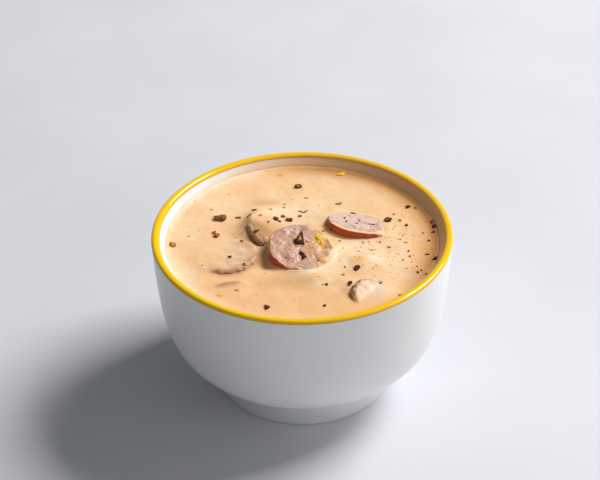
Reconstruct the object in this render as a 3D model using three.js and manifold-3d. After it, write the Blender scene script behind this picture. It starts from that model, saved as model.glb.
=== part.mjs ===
// A footed ceramic bowl filled with creamy cheese soup, with sausage slices lying in it.
// Millimetres, +Z up. The origin is the middle of the foot's underside, and -Y is the front.

import * as THREE from 'three';
import { mergeVertices } from 'three/addons/utils/BufferGeometryUtils.js';
import Module from 'manifold-3d';

// Bowl
const BOWL_HEIGHT = 76.5;
const RIM_RADIUS = 65;
const LIP_THICKNESS = 3.4;
const LIP_DROP = 1.3; // from the top of the lip down to where its rounding ends
const WALL_RADIUS_INSIDE = 58.7; // of the inner wall, where the lip's inner slope has ended
const INNER_SLOPE_END = 7; // below the rim
const FLOOR_HEIGHT = 16.5;
const BOWL_SEGMENTS = 52;
const CURVE_STEPS = 8; // straight steps along each long curve of the bowl's section
const LEAST_STEP = 0.9; // of the same section, so that its small roundings have few steps

// Foot
const FOOT_RADIUS = 39.7;
const FOOT_HEIGHT = 13.9; // where the outside of the foot meets the body
const FOOT_EDGE = 0.8; // rounding of the foot's lower edges
const RING_WIDTH = 4.5; // of the flat ring that the bowl stands on
const RECESS_DEPTH = 8.5;
const RECESS_TAPER = 1.6; // the recess is this much narrower at its top
const BODY_SLOPE_AT_FOOT = 0.35; // radians above level

// Soup
const SOUP_LEVEL = 71.1;
const GAP = 0.3; // between neighbouring solids
const SOUP_TOP_RINGS = 7;

// Sausage slices
const SLICE_SEGMENTS = 24;
const SKIN_ROUNDING = 0.9; // of a slice's two edges, unless the slice has a rounding of its own

// Each slice: where the middle of its upper cut face lies, relative to the middle of the soup's
// surface, how far it leans and in which direction (degrees, 0 is +X and -90 is the front), its
// half length and half width, the turn of its long side and its thickness.
const SLICES = {
  sausage_slice_centre: {
    at: [-0.9, -10.7, 3.7], lean: 14, towards: -64, half: [13.8, 13.7], turn: 0, thick: 4.2, phase: 0.4,
  },
  sausage_slice_behind: {
    at: [-8.3, 8.5, 0.2], lean: 15, towards: 10, half: [15.0, 14.6], turn: 0, thick: 4.8, phase: 2.1,
    round: 2.2, // its skin has curled over the edge
  },
  sausage_slice_right: {
    at: [24.7, 10.1, 1.6], lean: 10, towards: 45, half: [14.2, 9.3], turn: -16, thick: 5.2, phase: 3.3,
  },
  sausage_slice_left: {
    at: [-32.0, -12.4, 0.3], lean: 6, towards: 130, half: [12.8, 11.8], turn: 20, thick: 5.0, phase: 4.9,
  },
  sausage_piece_front_left: {
    at: [-30.2, -36.2, -1.6], lean: 22, towards: -78, half: [8.6, 5.6], turn: 14, thick: 4.2, phase: 1.2,
  },
  sausage_piece_front_right: {
    at: [28.9, -39.9, -1.9], lean: 40, towards: -42, half: [9.2, 9.0], turn: 0, thick: 4.6, phase: 5.6,
  },
};

// Swells and hollows of the soup's surface: middle x, y, height and spread.
const SOUP_SWELLS = [
  { x: 25.5, y: -17, height: 1.3, spread: 6 }, // mound to the right of the middle slice
  { x: 4, y: -25.5, height: 0.5, spread: 5 }, // soup drawn up to the middle slice
  { x: -41, y: -10, height: 0.5, spread: 7 }, // soup lying over the left slice
  { x: -20.5, y: -1, height: -1.8, spread: 5 }, // hollow between the three slices on the left
  { x: -16, y: -18, height: -1.2, spread: 4.5 }, // hollow beside the raised side of the middle slice
  { x: -3, y: -34, height: -0.6, spread: 7 }, // hollow in front of the middle slice
];

const wasm = await Module();
wasm.setup();

const radians = THREE.MathUtils.degToRad;

// A closed surface of revolution about Z, from a profile whose x is the radius and y the height.
function revolve(profile, segments) {
  const geometry = new THREE.LatheGeometry(profile, segments);
  geometry.rotateX(Math.PI / 2);
  return geometry;
}

// Moves each vertex of a geometry by a function that changes it in place.
function reshape(geometry, change) {
  const positions = geometry.getAttribute('position');
  const vertex = new THREE.Vector3();
  for (let i = 0; i < positions.count; i++) {
    vertex.fromBufferAttribute(positions, i);
    change(vertex);
    positions.setXYZ(i, vertex.x, vertex.y, vertex.z);
  }
  return geometry;
}

// The solid inside a closed geometry.
function solidOf(geometry) {
  const bare = new THREE.BufferGeometry();
  bare.setAttribute('position', geometry.getAttribute('position'));
  bare.setIndex(geometry.getIndex());
  const merged = mergeVertices(bare, 1e-3);
  return new wasm.Manifold(new wasm.Mesh({
    numProp: 3,
    vertProperties: merged.getAttribute('position').array,
    triVerts: new Uint32Array(merged.getIndex().array),
  }));
}

// The geometry of a solid's surface.
function geometryOf(solid) {
  const mesh = solid.getMesh();
  const geometry = new THREE.BufferGeometry();
  geometry.setAttribute('position', new THREE.BufferAttribute(mesh.vertProperties, mesh.numProp));
  geometry.setIndex(new THREE.BufferAttribute(mesh.triVerts, 1));
  geometry.computeVertexNormals();
  return geometry;
}

function part(name, geometry, color, roughness) {
  const material = new THREE.MeshStandardMaterial({ color, roughness, metalness: 0 });
  const mesh = new THREE.Mesh(geometry, material);
  mesh.name = name;
  return mesh;
}

// The inside of the bowl, from the inner edge of the lip down to the middle of the floor.
function drawInside(path) {
  const lipInside = RIM_RADIUS - LIP_THICKNESS;
  const slopeEnd = BOWL_HEIGHT - INNER_SLOPE_END;
  path.bezierCurveTo(lipInside - 0.8, BOWL_HEIGHT - 3, WALL_RADIUS_INSIDE + 0.1,
    BOWL_HEIGHT - 4, WALL_RADIUS_INSIDE, slopeEnd);
  path.bezierCurveTo(WALL_RADIUS_INSIDE - 0.2, 23, 51, FLOOR_HEIGHT - 1, 0, FLOOR_HEIGHT);
}

// Half of the bowl's section, from the middle of the recess under the foot round to the floor.
function bowlProfile() {
  const ringInside = FOOT_RADIUS - RING_WIDTH;
  const recessRadius = ringInside - RECESS_TAPER;
  const lipEnd = BOWL_HEIGHT - LIP_DROP;
  const lipTop = RIM_RADIUS - LIP_THICKNESS * 0.42;
  const bodyReach = 22.4; // how far the body keeps the direction in which it leaves the foot
  const rimReach = 44.5; // how far below the rim the wall is nearly upright
  const fillet = 1.2;

  const path = new THREE.Path();
  path.moveTo(0, RECESS_DEPTH);
  path.lineTo(recessRadius - fillet, RECESS_DEPTH);
  path.quadraticCurveTo(recessRadius, RECESS_DEPTH, recessRadius + 0.3, RECESS_DEPTH - fillet);
  path.lineTo(ringInside, FOOT_EDGE);
  path.lineTo(ringInside + FOOT_EDGE, 0);
  path.lineTo(FOOT_RADIUS - FOOT_EDGE, 0);
  path.lineTo(FOOT_RADIUS, FOOT_EDGE);
  path.lineTo(FOOT_RADIUS - 0.1, FOOT_HEIGHT - fillet);
  path.quadraticCurveTo(FOOT_RADIUS - 0.1, FOOT_HEIGHT - 0.2,
    FOOT_RADIUS + fillet, FOOT_HEIGHT + fillet * Math.tan(BODY_SLOPE_AT_FOOT));
  path.bezierCurveTo(
    FOOT_RADIUS + bodyReach * Math.cos(BODY_SLOPE_AT_FOOT),
    FOOT_HEIGHT + bodyReach * Math.sin(BODY_SLOPE_AT_FOOT),
    RIM_RADIUS - 2, lipEnd - rimReach, RIM_RADIUS, lipEnd);
  path.quadraticCurveTo(RIM_RADIUS, BOWL_HEIGHT, lipTop, BOWL_HEIGHT);
  path.quadraticCurveTo(RIM_RADIUS - LIP_THICKNESS + 0.3, BOWL_HEIGHT, RIM_RADIUS - LIP_THICKNESS, lipEnd);
  drawInside(path);
  return evenPoints(path, CURVE_STEPS, LEAST_STEP);
}

// The points of a path whose curves are cut into steps, less those that are nearer to the point
// before them than the least step.
function evenPoints(path, steps, leastStep) {
  const points = [];
  for (const point of path.getPoints(steps)) {
    if (points.length === 0 || point.distanceTo(points.at(-1)) > leastStep) points.push(point);
  }
  return points;
}

function soupHeight(x, y) {
  let height = 0;
  for (const swell of SOUP_SWELLS) {
    const distance = Math.hypot(x - swell.x, y - swell.y);
    height += swell.height * Math.exp(-((distance / swell.spread) ** 2));
  }
  return height;
}

// The soup fills the bowl up to its level: the bowl's inside drawn in by the gap, under an uneven top.
function soupGeometry() {
  const path = new THREE.Path();
  path.moveTo(RIM_RADIUS - LIP_THICKNESS, BOWL_HEIGHT - LIP_DROP);
  drawInside(path);
  const wall = evenPoints(path, CURVE_STEPS, LEAST_STEP)
    .filter((point) => point.y < SOUP_LEVEL)
    .map((point) => new THREE.Vector2(Math.max(0, point.x - GAP), point.y + GAP))
    .reverse();
  const edge = wall.at(-1).x + 0.1;
  const top = [];
  for (let ring = SOUP_TOP_RINGS; ring >= 0; ring--) {
    top.push(new THREE.Vector2((edge * ring) / SOUP_TOP_RINGS, SOUP_LEVEL));
  }
  const geometry = revolve([...wall, ...top], BOWL_SEGMENTS);
  return reshape(geometry, (vertex) => {
    const inside = Math.hypot(vertex.x, vertex.y) < edge * 0.97;
    if (vertex.z > SOUP_LEVEL - 1e-3 && inside) vertex.z += soupHeight(vertex.x, vertex.y);
  });
}

// A slice of sausage about its own middle, with the upper cut face at height 0: a disc with
// rounded edges, an outline that wavers and a skin that draws in a little at half its height.
// Grown slices, by a gap on every side, are what is cut out of the soup.
function sliceGeometry(slice, grow) {
  const thick = slice.thick + 2 * grow;
  const round = (slice.round ?? SKIN_ROUNDING) + grow;
  const path = new THREE.Path();
  path.moveTo(0, -thick);
  path.lineTo(1 - round / slice.half[0], -thick);
  path.quadraticCurveTo(1, -thick, 1, -thick + round);
  path.lineTo(0.985, -thick / 2);
  path.lineTo(1, -round);
  path.quadraticCurveTo(1, 0, 1 - round / slice.half[0], 0);
  path.lineTo(0.55, -0.15);
  path.lineTo(0, -0.1);
  const geometry = revolve(evenPoints(path, 2, 0.01), SLICE_SEGMENTS);
  const [long, wide] = slice.half;
  return reshape(geometry, (vertex) => {
    const angle = Math.atan2(vertex.y, vertex.x);
    const waver = 1 + 0.016 * Math.cos(2 * angle + slice.phase)
      + 0.012 * Math.cos(3 * angle + 2 * slice.phase) + 0.008 * Math.cos(5 * angle - slice.phase);
    vertex.x *= (long + grow) * waver;
    vertex.y *= (wide + grow) * waver;
    vertex.z += grow;
  });
}

// Puts a slice's mesh where it lies: turned about its own axis, then leaned over.
function lay(mesh, slice) {
  const towards = radians(slice.towards);
  const leanAxis = new THREE.Vector3(-Math.sin(towards), Math.cos(towards), 0);
  const lean = new THREE.Quaternion().setFromAxisAngle(leanAxis, radians(slice.lean));
  const turn = new THREE.Quaternion().setFromAxisAngle(new THREE.Vector3(0, 0, 1), radians(slice.turn));
  mesh.quaternion.copy(lean.multiply(turn));
  mesh.position.set(slice.at[0], slice.at[1], SOUP_LEVEL + slice.at[2]);
  mesh.updateMatrixWorld(true);
  return mesh;
}

const bowlOfSoup = new THREE.Group();

bowlOfSoup.add(part('bowl', revolve(bowlProfile(), BOWL_SEGMENTS), 0xf2f2f0, 0.18));

let soup = solidOf(soupGeometry());
for (const [name, slice] of Object.entries(SLICES)) {
  bowlOfSoup.add(lay(part(name, sliceGeometry(slice, 0), 0xcfa596, 0.45), slice));
  const hole = lay(new THREE.Mesh(sliceGeometry(slice, GAP)), slice);
  hole.geometry.applyMatrix4(hole.matrixWorld);
  soup = soup.subtract(solidOf(hole.geometry));
}
bowlOfSoup.add(part('soup', geometryOf(soup), 0xf6cd9a, 0.35));

export default bowlOfSoup;
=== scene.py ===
import math

import bpy
import numpy as np
from mathutils import Matrix, Vector


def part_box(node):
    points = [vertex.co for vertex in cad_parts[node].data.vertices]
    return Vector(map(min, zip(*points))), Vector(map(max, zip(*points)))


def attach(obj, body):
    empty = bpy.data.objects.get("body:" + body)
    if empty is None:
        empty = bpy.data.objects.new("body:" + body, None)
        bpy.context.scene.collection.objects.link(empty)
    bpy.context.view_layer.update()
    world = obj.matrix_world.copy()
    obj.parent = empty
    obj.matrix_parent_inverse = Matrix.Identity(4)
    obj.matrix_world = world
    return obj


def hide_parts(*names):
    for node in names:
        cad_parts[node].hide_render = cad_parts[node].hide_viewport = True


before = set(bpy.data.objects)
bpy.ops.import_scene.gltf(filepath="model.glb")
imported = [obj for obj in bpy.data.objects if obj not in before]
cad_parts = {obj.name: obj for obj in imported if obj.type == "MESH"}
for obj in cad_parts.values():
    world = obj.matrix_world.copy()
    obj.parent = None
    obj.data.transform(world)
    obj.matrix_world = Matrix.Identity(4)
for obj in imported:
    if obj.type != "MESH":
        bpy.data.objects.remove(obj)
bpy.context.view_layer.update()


# ======================================================================================
# Viewpoint
# The food is seen from in front and above, through a long lens. The camera repeats that
# view, and a pixel of the photograph is carried back along its line of sight to the food.
# ======================================================================================

MM = 0.001  # all sizes below are in millimetres, and meshes are made in metres

IMAGE_WIDTH, IMAGE_HEIGHT = 600, 480  # of the photograph, in pixels
LENS = 96.95
SENSOR_WIDTH = 36.0
NEAR_CLIP, FAR_CLIP = 0.01, 50.0  # metres
VIEW_DISTANCE = 700.0
VIEW_CENTRE = np.array([-0.912, 0.0, 71.221])  # the point in the middle of the view
VIEW_ELEVATION = math.radians(34.734)
VIEW_ROLL = math.radians(-0.833)

looking = np.array([0.0, math.cos(VIEW_ELEVATION), -math.sin(VIEW_ELEVATION)])
level_right = np.array([1.0, 0.0, 0.0])
level_up = np.cross(level_right, looking)
image_right = level_right * math.cos(VIEW_ROLL) + level_up * math.sin(VIEW_ROLL)
image_up = level_up * math.cos(VIEW_ROLL) - level_right * math.sin(VIEW_ROLL)
eye = VIEW_CENTRE - VIEW_DISTANCE * looking

camera_data = bpy.data.cameras.new("camera")
camera_data.lens = LENS
camera_data.sensor_width = SENSOR_WIDTH
camera_data.clip_start, camera_data.clip_end = NEAR_CLIP, FAR_CLIP
camera = bpy.data.objects.new("camera", camera_data)
camera.matrix_world = Matrix.Translation(Vector(eye * MM)) @ Matrix(
    np.column_stack([image_right, image_up, -looking]).tolist()).to_4x4()
bpy.context.scene.collection.objects.link(camera)
bpy.context.scene.camera = camera


SIGHT_ROUNDS = 7  # enough for a line of sight to settle on the food's low relief


def seen_at(column, row, surface):
    """Where the lines of sight through pixels meet a surface: x and y in millimetres.

    surface(x, y) gives the surface's height. A line is cut with the level plane at the rim, and
    then again with the level plane at the height found there, a few times over."""
    focal_pixels = LENS / SENSOR_WIDTH * IMAGE_WIDTH
    column, row = (np.asarray(place, float)[..., None] for place in (column, row))
    ray = (looking + image_right * (column - IMAGE_WIDTH / 2) / focal_pixels
           - image_up * (row - IMAGE_HEIGHT / 2) / focal_pixels)
    height = BOWL_HEIGHT
    for _ in range(SIGHT_ROUNDS):
        point = eye + ray * ((height - eye[2]) / ray[..., 2])[..., None]
        height = surface(point[..., 0], point[..., 1])
    return point[..., 0], point[..., 1]


# ======================================================================================
# Bowl
# A thin-walled stoneware bowl on a turned foot, dipped in white glaze. A band of glossy
# yellow glaze runs over the lip, and the ring that it stands on is wiped bare.
# ======================================================================================

_, bowl_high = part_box("bowl")
BOWL_HEIGHT = bowl_high.z / MM
RIM_RADIUS = bowl_high.x / MM
LIP_THICKNESS = 3.4
LIP_DROP = 1.3  # the lip's rounding ends this far below its top
WALL_RADIUS = 58.7  # inside, below the lip's slope
SLOPE_END = 7.0  # below the rim
FLOOR_HEIGHT = 16.5
FOOT_RADIUS = 39.7
FOOT_HEIGHT = 13.9
FOOT_EDGE = 0.8
RING_WIDTH = 4.5
RECESS_DEPTH = 8.5
RECESS_TAPER = 1.6
BODY_SLOPE = 0.35  # radians above level, where the body leaves the foot
BOWL_STEPS = 240  # round the bowl
SOUP_LEVEL = BOWL_HEIGHT - 5.4

WHITE_GLAZE = (0.83, 0.83, 0.815, 1)
WHITE_CLOUD = (0.80, 0.795, 0.78, 1)  # where the white glaze is a little greyer
YELLOW_GLAZE = (0.95, 0.565, 0.006, 1)
YELLOW_EDGE_SHADE = (0.62, 0.29, 0.004, 1)  # painted shade: a darker yellow along the band's lower edge, where the lip's sides turn from the light
BARE_CLAY = (0.62, 0.58, 0.52, 1)
OILY_FILM_AND_SHADE = (0.97, 0.56, 0.25, 1)  # of soup on the wall's shaded side: partly real film, partly painted shade and orange bounce light
# the wall's shaded side, away from the lamp, where the film rises higher and oilier: partly painted
# shade
WALL_FILM_SHADE_TOWARDS = math.radians(42)
WALL_FILM_START, WALL_FILM_END = -15.0, 52.0  # of its rise, measured that way from the middle
WALL_FILM_RISE = 3.4
WALL_FILM_WAVER = 1.6
WALL_FILM_SHARE = 0.85  # of the soup's colour in it
BAND_WAVER = 0.35


def bend(points, steps):
    """A Bezier curve without its start: the points weighted by the binomial terms of t, 1 - t."""
    points = np.array(points, float)
    t = np.linspace(0, 1, steps + 1)[1:, None]
    degree = len(points) - 1
    return sum(math.comb(degree, k) * t**k * (1 - t) ** (degree - k) * points[k]
               for k in range(degree + 1))


def bowl_section():
    """Radius and height along half of the bowl's section, from the middle of its floor up the
    inside, over the lip, down the outside and the foot to the middle of the recess below."""
    inside_lip = RIM_RADIUS - LIP_THICKNESS
    lip_end = BOWL_HEIGHT - LIP_DROP
    lip_top = RIM_RADIUS - LIP_THICKNESS * 0.42
    slope_end = BOWL_HEIGHT - SLOPE_END
    ring_inside = FOOT_RADIUS - RING_WIDTH
    recess = ring_inside - RECESS_TAPER
    body_reach, rim_reach, fillet = 22.4, 44.5, 1.2
    body_start = (FOOT_RADIUS + fillet, FOOT_HEIGHT + fillet * math.tan(BODY_SLOPE))
    return np.concatenate([
        [(0.0, FLOOR_HEIGHT)],
        bend([(0, FLOOR_HEIGHT), (51, FLOOR_HEIGHT - 1), (WALL_RADIUS - 0.2, 23),
              (WALL_RADIUS, slope_end)], 34),
        bend([(WALL_RADIUS, slope_end), (WALL_RADIUS + 0.1, BOWL_HEIGHT - 4),
              (inside_lip - 0.8, BOWL_HEIGHT - 3), (inside_lip, lip_end)], 14),
        bend([(inside_lip, lip_end), (inside_lip + 0.3, BOWL_HEIGHT), (lip_top, BOWL_HEIGHT)], 9),
        bend([(lip_top, BOWL_HEIGHT), (RIM_RADIUS, BOWL_HEIGHT), (RIM_RADIUS, lip_end)], 9),
        bend([(RIM_RADIUS, lip_end), (RIM_RADIUS - 2, lip_end - rim_reach),
              (FOOT_RADIUS + body_reach * math.cos(BODY_SLOPE),
               FOOT_HEIGHT + body_reach * math.sin(BODY_SLOPE)), body_start], 60),
        bend([body_start, (FOOT_RADIUS - 0.1, FOOT_HEIGHT - 0.2),
              (FOOT_RADIUS - 0.1, FOOT_HEIGHT - fillet)], 6),
        bend([(FOOT_RADIUS - 0.1, FOOT_HEIGHT - fillet), (FOOT_RADIUS, FOOT_EDGE)], 8),
        bend([(FOOT_RADIUS, FOOT_EDGE), (FOOT_RADIUS, 0), (FOOT_RADIUS - FOOT_EDGE, 0)], 5),
        bend([(FOOT_RADIUS - FOOT_EDGE, 0), (ring_inside + FOOT_EDGE, 0)], 3),
        bend([(ring_inside + FOOT_EDGE, 0), (ring_inside, 0), (ring_inside, FOOT_EDGE)], 5),
        bend([(ring_inside, FOOT_EDGE), (recess + 0.3, RECESS_DEPTH - fillet)], 5),
        bend([(recess + 0.3, RECESS_DEPTH - fillet), (recess, RECESS_DEPTH),
              (recess - fillet, RECESS_DEPTH)], 5),
        bend([(recess - fillet, RECESS_DEPTH), (0, RECESS_DEPTH)], 8),
    ])


def turned(section, around):
    """Rings of points: each point of a section carried round the upright axis in equal steps."""
    angle = np.linspace(0, 2 * math.pi, around, endpoint=False)
    radius, height = section[:, :1], section[:, 1:]
    return np.stack([radius * np.cos(angle), radius * np.sin(angle),
                     height + 0 * angle], axis=-1)


def closed_rounds(grids):
    """Points and faces of closed round shapes.

    grids holds each shape's rings of points, counterclockwise seen from its top. The first ring
    is the top's single point and the last ring the bottom's. Neighbouring rings are joined by
    four-sided faces, and the two end rings by fans of three-sided ones."""
    count, rings, around = grids.shape[:3]
    middle = grids[:, 1:-1].reshape(count, -1, 3)
    points = np.concatenate([grids[:, :1, 0], middle, grids[:, -1:, 0]], axis=1)
    step = np.arange(around)
    after = (step + 1) % around
    upper = 1 + np.arange(rings - 3)[:, None] * around
    quads = np.stack([upper + step, upper + around + step, upper + around + after,
                      upper + after], axis=-1).reshape(-1, 4)
    last = points.shape[1] - 1
    fans = np.concatenate([
        np.stack([0 * step, 1 + step, 1 + after], axis=-1),
        np.stack([0 * step + last, last - around + after, last - around + step], axis=-1)])
    offsets = np.arange(count)[:, None, None] * (last + 1)
    return (points.reshape(-1, 3), (quads + offsets).reshape(-1, 4), (fans + offsets).reshape(-1, 3))


def for_each_point(grids):
    """Numbers on the rings of closed round shapes, in the order of closed_rounds' points: one
    for each end ring, and all of those between."""
    count = len(grids)
    return np.concatenate([grids[:, :1, 0], grids[:, 1:-1].reshape(count, -1), grids[:, -1:, 0]],
                          axis=1).ravel()


def make_piece(name, points, quads, triangles, finish, slot, nodes=(), values=None):
    """A smooth mesh in metres from points in millimetres, with its finish, its numbers for each point
    (name: array) and the solids of the frame that it stands for. Its slot argument is not used."""
    mesh = bpy.data.meshes.new(name)
    mesh.vertices.add(len(points))
    mesh.vertices.foreach_set("co", (points * MM).astype(np.float32).ravel())
    corners = np.concatenate([triangles.ravel(), quads.ravel()]).astype(np.int32)
    sizes = np.repeat([3, 4], [len(triangles), len(quads)])
    mesh.loops.add(len(corners))
    mesh.loops.foreach_set("vertex_index", corners)
    mesh.polygons.add(len(sizes))
    mesh.polygons.foreach_set("loop_start", (np.cumsum(sizes) - sizes).astype(np.int32))
    mesh.polygons.foreach_set("use_smooth", np.ones(len(sizes), bool))
    mesh.update(calc_edges=True)
    mesh.validate()
    for label, numbers in (values or {}).items():
        attribute = mesh.attributes.new(label, "FLOAT", "POINT")
        attribute.data.foreach_set("value", np.asarray(numbers, np.float32).ravel())
    mesh.materials.append(finish)
    piece = bpy.data.objects.new(name, mesh)
    bpy.context.scene.collection.objects.link(piece)
    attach(piece, "root")
    if nodes:
        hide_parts(*nodes)
    return piece


def add_node(tree, kind, inputs=None, **settings):
    """A shader node with its settings, whose inputs are numbers, colours or other outputs."""
    node = tree.nodes.new(kind)
    for key, setting in settings.items():
        setattr(node, key, setting)
    for key, value in (inputs or {}).items():
        if isinstance(value, bpy.types.NodeSocket):
            tree.links.new(value, node.inputs[key])
        else:
            node.inputs[key].default_value = value
    return node


def mixed(tree, share, first, second):
    """The second colour laid over the first by a share from 0 to 1."""
    return add_node(tree, "ShaderNodeMix", {0: share, 6: first, 7: second},
                    data_type="RGBA").outputs[2]


def faded(tree, value, start, end):
    """0 up to start and 1 from end on (or the other way round), with a soft step between."""
    return add_node(tree, "ShaderNodeMapRange",
                    {"Value": value, "From Min": start, "From Max": end},
                    interpolation_type="SMOOTHSTEP").outputs["Result"]


def summed(tree, first, second, operation="ADD"):
    """Two numbers added, or joined by another operation."""
    return add_node(tree, "ShaderNodeMath", {0: first, 1: second}, operation=operation).outputs[0]


def times(tree, first, second):
    """Two numbers multiplied."""
    return summed(tree, first, second, "MULTIPLY")


def point_numbers(tree, label):
    """The numbers that make_piece gave to the piece's points under this label."""
    return add_node(tree, "ShaderNodeAttribute", attribute_name=label).outputs["Fac"]


def mottle(tree, place, size, detail=2.0):
    """Cloudy noise from 0 to 1 whose blotches have a size in millimetres."""
    return add_node(tree, "ShaderNodeTexNoise",
                    {"Vector": place, "Scale": 1 / (size * MM), "Detail": detail}).outputs["Fac"]


def new_effect(name, inputs, outputs):
    """An empty node group, with sockets given as name: (kind, start value) and name: kind."""
    effect = bpy.data.node_groups.new(name, "ShaderNodeTree")
    for socket, (kind, value) in inputs.items():
        effect.interface.new_socket(socket, in_out="INPUT", socket_type=kind).default_value = value
    for socket, kind in outputs.items():
        effect.interface.new_socket(socket, in_out="OUTPUT", socket_type=kind)
    return effect, effect.nodes.new("NodeGroupInput"), effect.nodes.new("NodeGroupOutput")


def use_effect(tree, effect, inputs):
    """An effect placed in a material, with its inputs."""
    return add_node(tree, "ShaderNodeGroup", inputs, node_tree=effect)


def new_finish(name, **surface):
    """A material with its Principled shader set up, and the place on the piece that it reads."""
    finish = bpy.data.materials.new(name)
    finish.use_nodes = True
    shader = finish.node_tree.nodes["Principled BSDF"]
    for key, value in surface.items():
        shader.inputs[key.replace("_", " ")].default_value = value
    place = finish.node_tree.nodes.new("ShaderNodeTexCoord").outputs["Object"]
    return finish, finish.node_tree, shader, place


# The fine unevenness of a surface, for the glaze, the soup, the meat and the spices alike.
fine_relief, relief_in, relief_out = new_effect(
    "fine_relief",
    {"Place": ("NodeSocketVector", (0, 0, 0)), "Scale": ("NodeSocketFloat", 500.0),
     "Depth": ("NodeSocketFloat", 0.0001), "Strength": ("NodeSocketFloat", 1.0)},
    {"Normal": "NodeSocketVector"})
relief_noise = add_node(fine_relief, "ShaderNodeTexNoise",
                        {"Vector": relief_in.outputs["Place"], "Scale": relief_in.outputs["Scale"],
                         "Detail": 3.0, "Roughness": 0.55})
relief_bump = add_node(fine_relief, "ShaderNodeBump",
                       {"Height": relief_noise.outputs["Fac"],
                        "Distance": relief_in.outputs["Depth"],
                        "Strength": relief_in.outputs["Strength"]})
fine_relief.links.new(relief_bump.outputs["Normal"], relief_out.inputs["Normal"])


def roughen(tree, shader, place, scale, depth, strength):
    """Gives a finish the fine unevenness: its noise per metre, its depth in metres, its strength."""
    relief = use_effect(tree, fine_relief, {"Place": place, "Scale": scale, "Depth": depth,
                                            "Strength": strength})
    tree.links.new(relief.outputs["Normal"], shader.inputs["Normal"])


# The soup's colour, for the soup and for the film of it on the meat and on the bowl's wall: cream with
# paler clouds and deeper flecks, and painted shade that deepens it towards the front.
SOUP_CREAM = (0.92, 0.595, 0.32, 1)
SOUP_PALE = (0.96, 0.68, 0.42, 1)
# the deeper colour, for the flecks and for the painted shade at the front
SOUP_DEEP_AND_SHADE = (0.84, 0.47, 0.20, 1)
CLOUD_SIZE, FLECK_SIZE = 17.0, 2.2
FLECK_SHARE, FRONT_SHADE_SHARE = 0.45, 0.6  # of the deeper colour in the flecks, and of the painted shade at the front
FRONT_SHADE_START, FRONT_SHADE_END = -20.0, -52.0  # the y over which the painted shade deepens it

soup_colour, soup_colour_in, soup_colour_out = new_effect(
    "soup_colour", {"Place": ("NodeSocketVector", (0, 0, 0))}, {"Color": "NodeSocketColor"})
place_in = soup_colour_in.outputs["Place"]
clouds = faded(soup_colour, mottle(soup_colour, place_in, CLOUD_SIZE), 0.35, 0.75)
flecks = faded(soup_colour, mottle(soup_colour, place_in, FLECK_SIZE, 3.0), 0.5, 0.78)
y_in = add_node(soup_colour, "ShaderNodeSeparateXYZ", {"Vector": place_in}).outputs["Y"]
# painted shade, deeper towards the front
front_shade = faded(soup_colour, y_in, FRONT_SHADE_START * MM, FRONT_SHADE_END * MM)
cream = mixed(soup_colour, clouds, SOUP_CREAM, SOUP_PALE)
cream = mixed(soup_colour, times(soup_colour, flecks, FLECK_SHARE), cream, SOUP_DEEP_AND_SHADE)
cream = mixed(soup_colour, times(soup_colour, front_shade, FRONT_SHADE_SHARE), cream, SOUP_DEEP_AND_SHADE)
soup_colour.links.new(cream, soup_colour_out.inputs["Color"])


def bowl_finish():
    """White glaze, yellow over the lip, bare clay under the ring, a film of soup at its level.

    The glazes end at heights that waver a little, and painted shade darkens the yellow along the band's
    lower edge. The film wavers more, and it reaches higher the further a place lies in one direction,
    where it is oilier too: that is the wall's shaded side, and the film there is partly real and partly
    painted shade and orange bounce light."""
    finish, tree, shader, place = new_finish("white_and_yellow_glaze", IOR=1.5, Coat_Weight=0.0)
    axes = add_node(tree, "ShaderNodeSeparateXYZ", {"Vector": place}).outputs
    wavering = summed(tree, axes["Z"], times(tree, mottle(tree, place, 9.0), BAND_WAVER * MM))
    band_end = (BOWL_HEIGHT - LIP_DROP) * MM
    yellow = faded(tree, wavering, band_end - 0.25 * MM, band_end + 0.05 * MM)
    # Below full, painted shade darkens the yellow along the band's lower edge.
    full = faded(tree, wavering, band_end - 0.1 * MM, band_end + 0.75 * MM)
    bare = faded(tree, wavering, 0.5 * MM, 0.25 * MM)
    white = mixed(tree, faded(tree, mottle(tree, place, 30.0), 0.3, 0.8), WHITE_GLAZE, WHITE_CLOUD)
    glaze = mixed(tree, yellow, white, mixed(tree, full, YELLOW_EDGE_SHADE, YELLOW_GLAZE))
    rightward = times(tree, axes["X"], math.cos(WALL_FILM_SHADE_TOWARDS))
    backward = times(tree, axes["Y"], math.sin(WALL_FILM_SHADE_TOWARDS))
    towards = faded(tree, summed(tree, rightward, backward), WALL_FILM_START * MM,
                    WALL_FILM_END * MM)
    uneven = times(tree, mottle(tree, place, 5.0), WALL_FILM_WAVER * MM)
    above = summed(tree, summed(tree, axes["Z"], uneven, "SUBTRACT"),
                   times(tree, towards, WALL_FILM_RISE * MM), "SUBTRACT")
    filmed = faded(tree, above, (SOUP_LEVEL + 2.0) * MM, (SOUP_LEVEL - 1.8) * MM)
    film = times(tree, times(tree, point_numbers(tree, "inside"), filmed), WALL_FILM_SHARE)
    soup = use_effect(tree, soup_colour, {"Place": place}).outputs["Color"]
    # oilier towards the shaded side: partly painted shade and orange bounce light
    soup = mixed(tree, towards, soup, OILY_FILM_AND_SHADE)
    colour = mixed(tree, bare, mixed(tree, film, glaze, soup), BARE_CLAY)
    tree.links.new(colour, shader.inputs["Base Color"])
    smooth = add_node(tree, "ShaderNodeMapRange",
                      {"Value": yellow, "To Min": 0.30, "To Max": 0.13}).outputs["Result"]
    rough = add_node(tree, "ShaderNodeMapRange",
                     {"Value": bare, "To Min": smooth, "To Max": 0.85}).outputs["Result"]
    tree.links.new(rough, shader.inputs["Roughness"])
    roughen(tree, shader, place, 160.0, 0.00004, 0.6)
    return finish


section = bowl_section()
rim_ring = np.argmax(section[:, 1])
is_inside = np.repeat((np.arange(len(section)) <= rim_ring)[None, :, None], BOWL_STEPS, axis=2)
make_piece("footed_bowl", *closed_rounds(turned(section, BOWL_STEPS)[None]), bowl_finish(),
           "white_glaze", ["bowl"], {"inside": for_each_point(is_inside)})
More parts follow.
